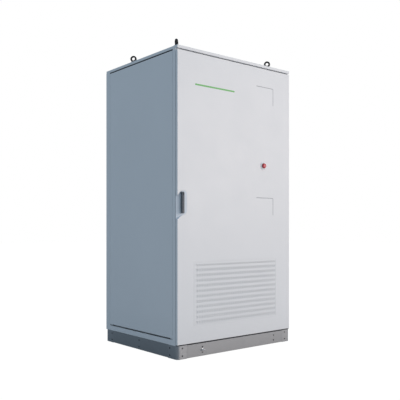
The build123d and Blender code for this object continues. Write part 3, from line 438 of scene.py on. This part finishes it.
def facing_out(low, high):
    """Place at the wall end of a fastener, whose Z points away from the cabinet's middle."""
    middle = (low + high) / 2
    size = high - low
    if size.y < size.x and size.y < size.z:
        out = -1 if middle.y < 0 else 1
        base = Vector((middle.x, high.y if out < 0 else low.y, middle.z))
        return Matrix.Translation(base) @ Matrix.Rotation(-out * math.pi / 2, 4, "X")
    out = -1 if middle.x < 0 else 1
    base = Vector((high.x if out < 0 else low.x, middle.y, middle.z))
    return Matrix.Translation(base) @ Matrix.Rotation(out * math.pi / 2, 4, "Y")


# ---------------------------------------------------------------- stage


CAMERA_PLACE = (-3.2587, -3.9806, 0.9653)
CAMERA_TURN = 39.525      # degrees from facing the door, towards the left side
CAMERA_LENS = 54.16
CAMERA_SHIFT = 0.0692
FLOOR_HALF = 30
LAMP_AIM = (0, -0.4, 1.1)
LAMPS = (                 # name, watts, side of the square, place, colour
    ("key", 1330, 7.4, (10.5, -14.0, 3.9), (1.0, 0.87, 0.79)),
    ("front_fill", 400, 7.0, (1.5, -16.5, 3.8), (1.0, 0.89, 0.80)),
)
SKY_COLOUR = (0.66, 0.83, 1.0, 1)
SKY_STRENGTH = 0.565


class CABINET_OT_stage(bpy.types.Operator):
    """Pale floor, soft studio light and the camera"""

    bl_idname = "cabinet.stage"
    bl_label = "Stage"

    def execute(self, context):
        scene = context.scene
        data = bpy.data.cameras.new("camera")
        data.lens = CAMERA_LENS
        data.sensor_width = 36.0
        data.shift_y = CAMERA_SHIFT
        data.clip_end = 100
        camera = bpy.data.objects.new("camera", data)
        scene.collection.objects.link(camera)
        camera.location = CAMERA_PLACE
        camera.rotation_euler = (math.pi / 2, 0, -math.radians(CAMERA_TURN))
        scene.camera = camera

        mesh = bpy.data.meshes.new("floor")
        corners = ((-1, -1), (1, -1), (1, 1), (-1, 1))
        mesh.from_pydata([(x * FLOOR_HALF, y * FLOOR_HALF, 0) for x, y in corners], [], [(0, 1, 2, 3)])
        floor = bpy.data.objects.new("floor", mesh)
        scene.collection.objects.link(floor)
        pale = Finish("pale_floor", Roughness=0.9)
        pale.feed("Base Color", pale.mixed(pale.noise(2.0), (0.52, 0.52, 0.52), (0.55, 0.55, 0.55)))
        glow = pale.node("ShaderNodeEmission", Color=(1, 1, 1, 1), Strength=1.1)
        seen = Wire(pale.tree, pale.node("ShaderNodeLightPath").outputs["Is Camera Ray"])
        blend = pale.node("ShaderNodeMixShader", _0=seen * 0.9, _1=pale.surface.outputs[0],
                          _2=glow.outputs[0])
        pale.tree.links.new(blend.outputs[0], pale.tree.nodes["Material Output"].inputs[0])
        mesh.materials.append(pale.material)

        for name, power, spread, place, colour in LAMPS:
            light = bpy.data.lights.new(name, "AREA")
            light.energy = power
            light.size = spread
            light.color = colour
            lamp = bpy.data.objects.new(name, light)
            lamp.location = place
            sight = Vector(LAMP_AIM) - Vector(place)
            lamp.rotation_euler = sight.to_track_quat("-Z", "Y").to_euler()
            scene.collection.objects.link(lamp)

        world = bpy.data.worlds.new("studio")
        scene.world = world
        world.use_nodes = True
        tree = world.node_tree
        back = tree.nodes["Background"]
        back.inputs[0].default_value = SKY_COLOUR
        back.inputs[1].default_value = SKY_STRENGTH
        white = tree.nodes.new("ShaderNodeBackground")
        white.inputs[0].default_value = (1, 1, 1, 1)
        white.inputs[1].default_value = 1.0
        path = tree.nodes.new("ShaderNodeLightPath")
        mix = tree.nodes.new("ShaderNodeMixShader")
        tree.links.new(path.outputs["Is Camera Ray"], mix.inputs[0])
        tree.links.new(back.outputs[0], mix.inputs[1])
        tree.links.new(white.outputs[0], mix.inputs[2])
        tree.links.new(mix.outputs[0], tree.nodes["World Output"].inputs[0])
        scene.view_settings.view_transform = "Standard"
        return {"FINISHED"}


# ---------------------------------------------------------------- finishes


class CABINET_OT_finishes(bpy.types.Operator):
    """Materials of the cabinet, and their places on the frame's own pieces"""

    bl_idname = "cabinet.finishes"
    bl_label = "Finishes"

    def execute(self, context):
        colours = context.scene.cabinet_colours
        powder_coat("coat", tuple(colours.coat))
        plinth = tuple(colours.plinth)
        for name, colour in (("plinth_coat", plinth), ("plinth_corner_coat", shade(plinth, 1.08))):
            powder_coat(name, colour, grain=800.0, gloss=0.5, flake=0.92)
        zinc_plate("zinc", (0.62, 0.64, 0.66))
        enamel("black_enamel", (0.012, 0.012, 0.014), worn=0.5)
        enamel("eye_enamel", (0.006, 0.006, 0.008), gloss=0.6, worn=0.3)
        enamel("handle_enamel", tuple(colours.handle), gloss=0.58)
        enamel("lock_metal", (0.03, 0.03, 0.034), gloss=0.3)
        moulded("black_plastic", (0.022, 0.022, 0.024))
        moulded("case_plastic", (0.06, 0.065, 0.072), gloss=0.5)
        # pale grey moulding, its tone raised to brighten the recess lying in the handle's shadow:
        # partly painted light
        moulded("recess_plastic", (0.86, 0.88, 0.90), gloss=0.55)
        moulded("white_plastic", (0.62, 0.64, 0.65), gloss=0.38)
        moulded("stop_red", tuple(colours.stop), gloss=0.3, grain=500.0, relief=0.05)
        # black rubber for the real seals; also used for the sill strip and the panel gap beads, which
        # are painted shade
        moulded("seal_rubber", (0.016, 0.016, 0.018), gloss=0.75, grain=300.0, relief=0.4)
        fibre_mat("filter_mat", (0.66, 0.67, 0.68))
        # dark grey tone for the lines in the door's corner grooves: painted shade in the grooves
        moulded("groove_shade_paint", (0.36, 0.37, 0.385), gloss=0.6)
        enamel("screw_steel", (0.014, 0.0145, 0.016), gloss=0.5, worn=0.8)
        # near-black: painted shade for the vent slots of the modules
        moulded("vent_shadow", (0.006, 0.006, 0.007), gloss=0.8)
        light_stripe("stripe_lens", tuple(colours.stripe))
        copper_bar("copper", (0.72, 0.36, 0.20))
        by_slot = {           # slots whose material has another name
            "cabinet_paint": "coat", "plinth_paint": "plinth_coat", "zinc_steel": "zinc",
            "dark_steel": "black_enamel", "green_lens": "stripe_lens", "handle_metal": "handle_enamel",
            "red_plastic": "stop_red", "module_case": "case_plastic",
        }
        for entry in frame["record"]["subparts"]:
            node = frame["nodes"][entry["node"]]
            for place in node.material_slots:
                slot = entry["material_slot"]
                place.material = finish_named(by_slot.get(slot, slot))
        for name, finish in (("plinth_corners", "plinth_corner_coat"),
                             ("handle_spindle", "handle_enamel")):
            for place in frame["nodes"][name].material_slots:
                place.material = finish_named(finish)
        return {"FINISHED"}


# ---------------------------------------------------------------- vent


class CABINET_OT_vent(bpy.types.Operator):
    """Perforated vent panel with pointed holes in rows"""

    bl_idname = "cabinet.vent"
    bl_label = "Vent panel"

    def execute(self, context):
        sizes = context.scene.cabinet_sizes
        low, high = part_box("vent_grille")
        flange = 0.0128               # width of the frame behind the door's opening
        gauge = 0.0015
        plain = 0.003                 # unpierced strip over the top row
        x0, x1 = low[0] + flange, high[0] - flange
        z0, z1 = low[2] + flange, high[2] - flange
        face, back = low[1], high[1]
        margin = 0.0115               # from the field's foot to the lowest hole's point
        pitch = sizes.vent_width / sizes.vent_columns
        half_hole = (pitch - sizes.web) / 2
        left_edge = (x0 + x1) / 2 - sizes.vent_width / 2
        bottom = z0 + margin + sizes.hole_height / 2
        tip = 0.0062                  # height of a hole's pointed end
        top_drop = 0.0012             # the top row is cut short and sits lower

        def cell(shape, x, z_low, z_high, centre, low_point, high_point, shoulder_low, shoulder_high):
            """One hole with the sheet around it."""
            half = pitch / 2
            rim = [(x - half, z_low), (x, z_low), (x + half, z_low),
                   (x + half, z_high), (x, z_high), (x - half, z_high)]
            hole = [(x - half_hole, centre + shoulder_low), (x, centre + low_point),
                    (x + half_hole, centre + shoulder_low), (x + half_hole, centre + shoulder_high),
                    (x, centre + high_point), (x - half_hole, centre + shoulder_high)]
            outer = [shape.verts.new((a, face, b)) for a, b in rim]
            inner = [shape.verts.new((a, face, b)) for a, b in hole]
            deep = [shape.verts.new((a, face + gauge, b)) for a, b in hole]
            skinned(shape, (outer, inner, deep))

        def panel(shape):
            half = sizes.hole_height / 2
            rows = sizes.vent_rows - 1
            field_bottom = bottom - sizes.vent_pitch / 2
            field_top = z1 - plain
            for row in range(rows):
                centre = bottom + row * sizes.vent_pitch
                for column in range(sizes.vent_columns):
                    x = left_edge + (column + 0.5) * pitch
                    cell(shape, x, centre - sizes.vent_pitch / 2, centre + sizes.vent_pitch / 2, centre,
                         -half, half, tip - half, half - tip)
            top_low = bottom + (rows - 0.5) * sizes.vent_pitch
            top_centre = bottom + rows * sizes.vent_pitch - top_drop
            for column in range(sizes.vent_columns):
                x = left_edge + (column + 0.5) * pitch
                cell(shape, x, top_low, field_top, top_centre, -0.0075, 0.0085, -0.0072, -0.001)
            right_edge = left_edge + sizes.vent_width
            borders = ((x0, z0, x1, field_bottom), (x0, field_top, x1, z1),
                       (x0, field_bottom, left_edge, field_top),
                       (right_edge, field_bottom, x1, field_top))
            for a, b, c, d in borders:
                shape.faces.new([shape.verts.new((p, face, q))
                                 for p, q in ((a, b), (c, b), (c, d), (a, d))])
            inner_back = back - gauge
            for a, b, c, d in ((x0, z0, x1, z0), (x1, z0, x1, z1), (x1, z1, x0, z1), (x0, z1, x0, z0)):
                wall = ((a, face, b), (c, face, d), (c, inner_back, d), (a, inner_back, b))
                shape.faces.new([shape.verts.new(point) for point in wall])
            flanges = ((low[0], low[2], x0, high[2]), (x1, low[2], high[0], high[2]),
                       (x0, low[2], x1, z0), (x0, z1, x1, high[2]))
            for left, foot, right, top in flanges:
                slab(shape, (left, inner_back, foot), (right, back, top))
            bmesh.ops.remove_doubles(shape, verts=shape.verts, dist=20 * WELD)

        piece("vent_panel", panel, finish_named("coat"), "door", ("vent_grille",))
        return {"FINISHED"}


# ---------------------------------------------------------------- pressed corners


class CABINET_OT_corner_groove_shades(bpy.types.Operator):
    """Dark grey lines of painted shade laid in the two pressed corner grooves of the door"""

    bl_idname = "cabinet.corner_lines"
    bl_label = "Corner lines"

    def execute(self, context):
        low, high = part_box("door_panel")
        face = low[1]
        corner_x = high[0] - 199 * MM
        levels = (2118 * MM, 1209 * MM)
        across, down, bend = 195 * MM, 141 * MM, 9 * MM
        half = 2.2 * MM               # half the width of the line
        section = ((1, 0.9 * MM), (1, 0.5 * MM), (0, 0.3 * MM), (-1, 0.5 * MM), (-1, 0.9 * MM))

        # thin dark strips sunk in the grooves: painted shade along the pressed corners
        def lines(shape):
            for corner_z in levels:
                path = [(corner_x - across + half, corner_z), (corner_x - bend, corner_z)]
                for step in range(1, 7):
                    angle = math.radians(90 - 15 * step)
                    path.append((corner_x - bend + bend * math.cos(angle),
                                 corner_z - bend + bend * math.sin(angle)))
                path.append((corner_x, corner_z - down + half))
                rows = []
                for index, (x, z) in enumerate(path):
                    before = path[max(index - 1, 0)]
                    after = path[min(index + 1, len(path) - 1)]
                    run = Vector((after[0] - before[0], after[1] - before[1])).normalized()
                    side = Vector((-run.y, run.x)) * half
                    rows.append([
                        shape.verts.new((x + side.x * reach, face + setback, z + side.y * reach))
                        for reach, setback in section])
                capped(shape, rows)

        piece("corner_groove_shades", lines, finish_named("groove_shade_paint"), "door")
        return {"FINISHED"}


# ---------------------------------------------------------------- lifting eyes


class CABINET_OT_lifting_eyes(bpy.types.Operator):
    """Forged lifting eyes with collar and thread"""

    bl_idname = "cabinet.lifting_eyes"
    bl_label = "Lifting eyes"

    def execute(self, context):
        sizes = context.scene.cabinet_sizes
        low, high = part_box("lifting_eyes")
        pads_low, pads_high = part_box("lifting_pads")
        pad_radius = 0.033
        ring_rise = 0.027             # from the pad's top to the ring's middle
        breadth = 1.5                 # section along the ring's axis against across it
        wire = sizes.eye_wire
        pitch = 0.00175
        collar_profile = ((0, 0), (0.0138, 0), (0.0149, 0.0012), (0.0149, 0.0045), (0.0125, 0.0068),
                          (0.0085, 0.0085), (0, 0.0085))
        xs = (pads_low[0] + pad_radius, pads_high[0] - pad_radius)
        ys = (pads_low[1] + pad_radius, pads_high[1] - pad_radius)
        centre_z = pads_high[2] + ring_rise
        ring_radius = high[2] - centre_z - wire

        def ring(shape, place):
            """Ring whose section thins towards the crown."""
            around, across = 56, 20
            grid = []
            for i in range(around):
                a = 2 * math.pi * i / around
                thick = wire * (1.0 - 0.12 * max(0.0, math.sin(a)))
                row = []
                for j in range(across):
                    b = 2 * math.pi * j / across
                    reach = ring_radius + thick * math.cos(b)
                    row.append(shape.verts.new(place @ Vector(
                        (reach * math.cos(a), reach * math.sin(a), breadth * thick * math.sin(b)))))
                grid.append(row)
            skinned(shape, [*grid, grid[0]])

        def eyes(shape):
            turns = int((pads_high[2] - low[2]) / pitch)
            shank = [(0, 0)]
            for step in range(turns):
                shank += [(0.0060, -pitch * step), (0.0052, -pitch * (step + 0.5))]
            shank.append((0, -pitch * turns + 0.0002))
            for x in xs:
                for y in ys:
                    turn = math.radians(45 if x * y > 0 else -45)
                    place = Matrix.Translation((x, y, centre_z)) @ Matrix.Rotation(turn, 4, "Z")
                    ring(shape, place @ Matrix.Rotation(math.pi / 2, 4, "X"))
                    collar = Matrix.Translation((x, y, pads_high[2]))
                    turned(shape, collar_profile, collar)
                    turned(shape, shank, collar, 20)

        piece("lifting_eye_forgings", eyes, finish_named("eye_enamel"), "cabinet",
              ("lifting_eyes",), smooth=True)
        return {"FINISHED"}


# ---------------------------------------------------------------- plinth fastenings


class CABINET_OT_plinth_fastenings(bpy.types.Operator):
    """Hexagon screws of the plinth, the earth stud with its nut and washer, and a black strip of
    painted shade in the gap under the door
    """

    bl_idname = "cabinet.plinth_fastenings"
    bl_label = "Plinth fastenings"

    def execute(self, context):
        def screws(shape):
            for low, high in islands("plinth_screws"):
                height, width = sorted(high - low)[:2]
                hex_head(shape, facing_out(low, high), width * 0.84, height, width / 2)

        piece("plinth_screw_heads", screws, finish_named("screw_steel"), "cabinet",
              ("plinth_screws",))

        low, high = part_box("earth_stud")
        middle = (low[0] + high[0]) / 2
        height = (low[2] + high[2]) / 2
        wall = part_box("plinth_panel_front")[0][1]
        reach = wall - low[1]

        def stud(shape):
            place = outwards(middle, wall, height)
            pitch = 0.00125
            washer = 0.0018
            thread = []
            for step in range(int((reach - 0.001) / pitch)):
                thread += [(0.0034, step * pitch), (0.0040, (step + 0.5) * pitch)]
            turned(shape, [(0, -0.001), *thread, (0.0030, reach - 0.0006), (0, reach)], place, 24)
            turned(shape, ((0, 0.0001), (0.0086, 0.0001), (0.0086, 0.0014), (0.0079, washer),
                           (0, washer)), place, 32)
            nut = place @ Matrix.Translation((0, 0, washer))
            hex_head(shape, nut, 0.0125, 0.0066, 0.0076)

        # black strip on the plinth top under the door: painted shade for the shadowed gap below the
        # door's bottom edge
        def strip(shape):
            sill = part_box("base_frame")[0]
            door_low, door_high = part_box("door_panel")
            inset, depth, clear = 1.0 * MM, 4.5 * MM, 2.2 * MM
            slab(shape, (door_low[0] + inset, sill[1] - depth, sill[2]),
                 (door_high[0] - inset, sill[1] - 0.1 * MM, door_low[2] - clear))

        piece("sill_gap_shade_strip", strip, finish_named("seal_rubber"), "cabinet")
        piece("earth_stud_and_nut", stud, finish_named("zinc"), "cabinet",
              ("earth_stud",), smooth=True)
        return {"FINISHED"}


# ---------------------------------------------------------------- panel gap shades


class CABINET_OT_panel_gap_shades(bpy.types.Operator):
    """Dark beads of painted shade in the gaps between the roof edge and the side and rear panels"""

    bl_idname = "cabinet.panel_seals"
    bl_label = "Panel gap shades"

    def execute(self, context):
        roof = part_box("roof_panel")[0][2]
        proud, root, clear = 0.0004, 0.006, 0.0006
        beads = []
        for name, out in (("side_panel_left", -1), ("side_panel_right", 1)):
            low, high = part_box(name)
            face = low[0] if out < 0 else high[0]
            edges = sorted((face + out * proud, face - out * root))
            beads.append(((edges[0], low[1] + clear, high[2] + clear),
                          (edges[1], high[1] - clear, roof - clear)))
        low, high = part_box("rear_panel")
        beads.append(((low[0] + clear, high[1] - root, high[2] + clear),
                      (high[0] - clear, high[1] + proud, roof - clear)))

        # near-black beads filling the gaps: painted shade where the gaps would lie in shadow
        def shade_bead_solids(shape):
            for low, high in beads:
                slab(shape, low, high)

        piece("panel_gap_shade_beads", shade_bead_solids, finish_named("seal_rubber"), "cabinet",
              bevel=0.001)
        return {"FINISHED"}


# ---------------------------------------------------------------- status stripe


class CABINET_OT_status_lens(bpy.types.Operator):
    """Crowned lens of the status stripe with rounded ends"""

    bl_idname = "cabinet.status_lens"
    bl_label = "Status lens"

    def execute(self, context):
        low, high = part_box("status_stripe")
        middle = ((low[0] + high[0]) / 2, (low[2] + high[2]) / 2)
        half = (high[0] - low[0]) / 2
        overlap = 0.0012              # how far the lens laps over its slot
        tall = (high[2] - low[2]) / 2 + overlap
        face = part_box("door_panel")[0][1]
        proud = face - low[1]

        def lens(shape):
            place = outwards(middle[0], face, middle[1])

            def outline(grow):
                points = []
                for end in (1, -1):
                    for step in range(13):
                        angle = math.radians(-90 + 15 * step) + (0 if end > 0 else math.pi)
                        points.append((end * (half - tall) + (tall + grow) * math.cos(angle),
                                       (tall + grow) * math.sin(angle)))
                return points

            rows = []
            for grow, out in ((0, 0.00005), (0, proud * 0.4), (-0.0009, proud * 0.8),
                              (-0.0028, proud)):
                rows.append([shape.verts.new(place @ Vector((x, y, out)))
                             for x, y in outline(grow)])
            capped(shape, rows)

        piece("status_lens", lens, finish_named("stripe_lens"), "door",
              ("status_stripe",), smooth=True)
        return {"FINISHED"}


# ---------------------------------------------------------------- stop button


class CABINET_OT_stop_button(bpy.types.Operator):
    """Mushroom head with finger flutes round its rim, and the ring around it"""

    bl_idname = "cabinet.stop_button"
    bl_label = "Stop button"

    def execute(self, context):
        low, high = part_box("stop_head")
        x, z = (low[0] + high[0]) / 2, (low[2] + high[2]) / 2
        radius = (high[0] - low[0]) / 2
        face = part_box("door_panel")[0][1]
        front = face - low[1]
        back = face - high[1]
        stem = 0.0079
        flutes, flute_depth = 12, 0.0005

        def head(shape):
            place = outwards(x, face, z)
            steps = 8 * flutes
            profile = ((stem, back), (stem, front - 0.0132), (radius * 0.80, front - 0.0130),
                       (radius * 0.95, front - 0.0122), (radius, front - 0.0100),
                       (radius * 0.995, front - 0.0072), (radius * 0.95, front - 0.0042),
                       (radius * 0.84, front - 0.0018), (radius * 0.68, front - 0.0004),
                       (radius * 0.5, front), (radius * 0.25, front - 0.0004))
            rings = []
            for reach, out in profile:
                ring = []
                for step in range(steps):
                    angle = 2 * math.pi * step / steps
                    grip = max(0.0, math.cos(flutes * angle)) if reach > radius * 0.9 else 0.0
                    arm = reach - flute_depth * grip
                    ring.append(shape.verts.new(
                        place @ Vector((arm * math.cos(angle), arm * math.sin(angle), out))))
                rings.append(ring)
            skinned(shape, rings)
            shape.faces.new(rings[0])
            crown = shape.verts.new(place @ Vector((0, 0, front - 0.0005)))
            for step in range(steps):
                shape.faces.new((rings[-1][step], rings[-1][(step + 1) % steps], crown))

        piece("stop_mushroom", head, finish_named("stop_red"), "stop_button",
              ("stop_head",), smooth=True)

        guard_low, guard_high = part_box("stop_guard")
        outer = (guard_high[0] - guard_low[0]) / 2
        rise = face - guard_low[1]
        band = 0.0100                 # width of the ring

        def guard(shape):
            place = outwards(x, face, z)
            bore = outer - band
            turned(shape, ((bore, 0.0), (outer, 0.0), (outer, 0.0009), (outer - 0.0006, 0.0016),
                           (bore + 0.0030, rise - 0.0028), (bore + 0.0018, rise - 0.0022),
                           (bore + 0.0006, rise - 0.0026), (bore, rise - 0.0036), (bore, 0.0)),
                   place, 72)
            bmesh.ops.remove_doubles(shape, verts=shape.verts, dist=WELD)

        piece("stop_ring", guard, finish_named("white_plastic"), "door",
              ("stop_guard",), smooth=True)
        return {"FINISHED"}


# ---------------------------------------------------------------- battery modules


class CABINET_OT_module_fronts(bpy.types.Operator):
    """Near-black raised bars of painted shade standing in for the module vent slots, and corner screws
    on the module fronts
    """

    bl_idname = "cabinet.module_fronts"
    bl_label = "Module fronts"

    def execute(self, context):
        fronts = []
        for name in sorted(frame["nodes"]):
            if name.startswith("battery_modules_"):
                fronts += islands(name)
        terminals = 0.028             # how far the terminals stand out of a front
        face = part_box("battery_modules_1")[0][1] + terminals
        seat = face + 0.3 * MM
        rows, columns = 7, 6
        row_pitch, column_pitch = 0.011, 0.034
        bar_half, bar_height, bar_rise = 0.0145, 0.0042, 0.0011
        screw_profile = ((0, 0), (0.0062, 0), (0.0060, 0.0016), (0.0046, 0.0030), (0.0026, 0.0034),
                         (0.0022, 0.0020), (0, 0.0018))

        # raised near-black bars: painted shade where the vent slots would be
        def shade_bar_solids(shape):
            for low, high in fronts:
                middle = (low.x + high.x) / 2
                base = low.z + 0.045
                for row in range(rows):
                    for column in range(columns):
                        x = middle + (column - (columns - 1) / 2) * column_pitch
                        z = base + row * row_pitch
                        slab(shape, (x - bar_half, face - bar_rise, z),
                             (x + bar_half, seat, z + bar_height))

        def screws(shape):
            for low, high in fronts:
                for x in (low.x + 0.012, high.x - 0.012):
                    for z in (low.z + 0.014, high.z - 0.014):
                        turned(shape, screw_profile, outwards(x, seat, z), 24)

        piece("module_slot_shade_bars", shade_bar_solids, finish_named("vent_shadow"), "cabinet")
        piece("module_screws", screws, finish_named("zinc"), "cabinet", smooth=True)
        return {"FINISHED"}


PANEL_ORDER = (CABINET_OT_stage, CABINET_OT_finishes, CABINET_OT_vent, CABINET_OT_corner_groove_shades,
               CABINET_OT_lifting_eyes, CABINET_OT_plinth_fastenings, CABINET_OT_panel_gap_shades,
               CABINET_OT_status_lens, CABINET_OT_stop_button, CABINET_OT_module_fronts)


class CABINET_PT_pieces(bpy.types.Panel):
    """Sizes, colours and pieces of the cabinet"""

    bl_idname = "CABINET_PT_pieces"
    bl_label = "Battery cabinet"
    bl_space_type = "VIEW_3D"
    bl_region_type = "UI"
    bl_category = "Cabinet"

    def draw(self, context):
        for group in (context.scene.cabinet_sizes, context.scene.cabinet_colours):
            for name in group.__annotations__:
                self.layout.prop(group, name)
        for operator in PANEL_ORDER:
            self.layout.operator(operator.bl_idname)


CLASSES = (CabinetSizes, CabinetColours, *PANEL_ORDER, CABINET_PT_pieces)


def register():
    for item in CLASSES:
        bpy.utils.register_class(item)
    bpy.types.Scene.cabinet_sizes = bpy.props.PointerProperty(type=CabinetSizes)
    bpy.types.Scene.cabinet_colours = bpy.props.PointerProperty(type=CabinetColours)


def unregister():
    del bpy.types.Scene.cabinet_colours
    del bpy.types.Scene.cabinet_sizes
    for item in reversed(CLASSES):
        bpy.utils.unregister_class(item)


def main():
    register()
    for operator in PANEL_ORDER:
        group, name = operator.bl_idname.split(".")
        getattr(getattr(bpy.ops, group), name)()


if __name__ == "__main__":
    main()
